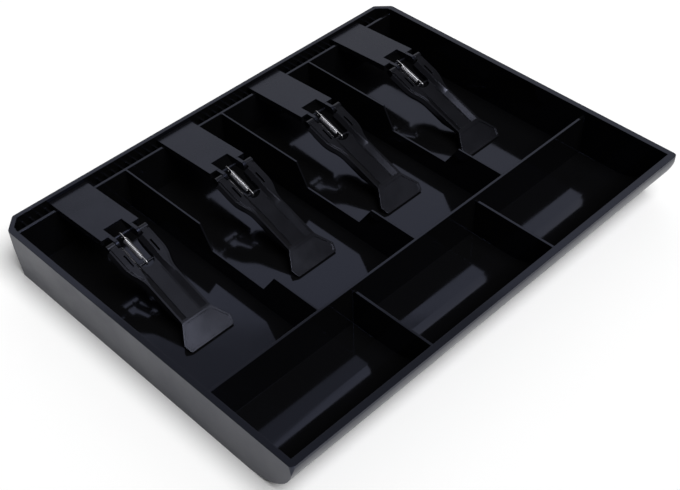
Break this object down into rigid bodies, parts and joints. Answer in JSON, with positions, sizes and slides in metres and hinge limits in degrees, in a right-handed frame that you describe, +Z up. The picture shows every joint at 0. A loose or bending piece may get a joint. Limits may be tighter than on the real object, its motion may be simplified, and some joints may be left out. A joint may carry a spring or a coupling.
{
  "type": "cash drawer insert",
  "caption": "Moulded cash drawer tray with bill compartments under sprung hold-down clips and scooped coin cups along the front.",
  "frame": {"origin": "centre of the footprint, on the plane that the tray stands on", "axes": "+X to the right along the long side, +Y to the rear where the clips are fixed, +Z up"},
  "size_m": [0.32, 0.245, 0.0364],
  "materials": {
    "tray_plastic": "moulded, fine satin outside, glossier inside",
    "clip_plastic": "moulded, satin",
    "spring_wire": "bright zinc-plated wire"
  },
  "bodies": {
    "tray_body": {"tray": "tray_plastic", "bill_clip_1_plate": "clip_plastic", "bill_clip_2_plate": "clip_plastic", "bill_clip_3_plate": "clip_plastic", "bill_clip_4_plate": "clip_plastic"},
    "clip_1_arm": {"bill_clip_1_arm": "clip_plastic"},
    "clip_1_spring": {"bill_clip_1_spring": "spring_wire"},
    "clip_2_arm": {"bill_clip_2_arm": "clip_plastic"},
    "clip_2_spring": {"bill_clip_2_spring": "spring_wire"},
    "clip_3_arm": {"bill_clip_3_arm": "clip_plastic"},
    "clip_3_spring": {"bill_clip_3_spring": "spring_wire"},
    "clip_4_arm": {"bill_clip_4_arm": "clip_plastic"},
    "clip_4_spring": {"bill_clip_4_spring": "spring_wire"}
  },
  "joints": [
    {"name": "clip_1_lift", "type": "hinge", "parent": "tray_body", "child": "clip_1_arm", "pos_m": [-0.1147, 0.062, 0.0336], "axis": [-1, 0, 0], "range_deg": [0, 115], "stiffness_Nm_per_rad": 0.01, "springref_deg": -57.3},
    {"name": "clip_1_spring_swing", "type": "hinge", "parent": "tray_body", "child": "clip_1_spring", "pos_m": [-0.1147, 0.0681, 0.0318], "axis": [-1, 0, 0], "range_deg": [0, 90], "deforming": ["bill_clip_1_spring"]},
    {"name": "clip_2_lift", "type": "hinge", "parent": "tray_body", "child": "clip_2_arm", "pos_m": [-0.0337, 0.062, 0.0336], "axis": [-1, 0, 0], "range_deg": [0, 115], "stiffness_Nm_per_rad": 0.01, "springref_deg": -57.3},
    {"name": "clip_2_spring_swing", "type": "hinge", "parent": "tray_body", "child": "clip_2_spring", "pos_m": [-0.0337, 0.0681, 0.0318], "axis": [-1, 0, 0], "range_deg": [0, 90], "deforming": ["bill_clip_2_spring"]},
    {"name": "clip_3_lift", "type": "hinge", "parent": "tray_body", "child": "clip_3_arm", "pos_m": [0.0419, 0.062, 0.0336], "axis": [-1, 0, 0], "range_deg": [0, 115], "stiffness_Nm_per_rad": 0.01, "springref_deg": -57.3},
    {"name": "clip_3_spring_swing", "type": "hinge", "parent": "tray_body", "child": "clip_3_spring", "pos_m": [0.0419, 0.0681, 0.0318], "axis": [-1, 0, 0], "range_deg": [0, 90], "deforming": ["bill_clip_3_spring"]},
    {"name": "clip_4_lift", "type": "hinge", "parent": "tray_body", "child": "clip_4_arm", "pos_m": [0.1175, 0.062, 0.0336], "axis": [-1, 0, 0], "range_deg": [0, 115], "stiffness_Nm_per_rad": 0.01, "springref_deg": -57.3},
    {"name": "clip_4_spring_swing", "type": "hinge", "parent": "tray_body", "child": "clip_4_spring", "pos_m": [0.1175, 0.0681, 0.0318], "axis": [-1, 0, 0], "range_deg": [0, 90], "deforming": ["bill_clip_4_spring"]}
  ],
  "couplings": [
    {"joint": "clip_1_spring_swing", "follows": "clip_1_lift", "ratio": 0.75},
    {"joint": "clip_2_spring_swing", "follows": "clip_2_lift", "ratio": 0.75},
    {"joint": "clip_3_spring_swing", "follows": "clip_3_lift", "ratio": 0.75},
    {"joint": "clip_4_spring_swing", "follows": "clip_4_lift", "ratio": 0.75}
  ]
}
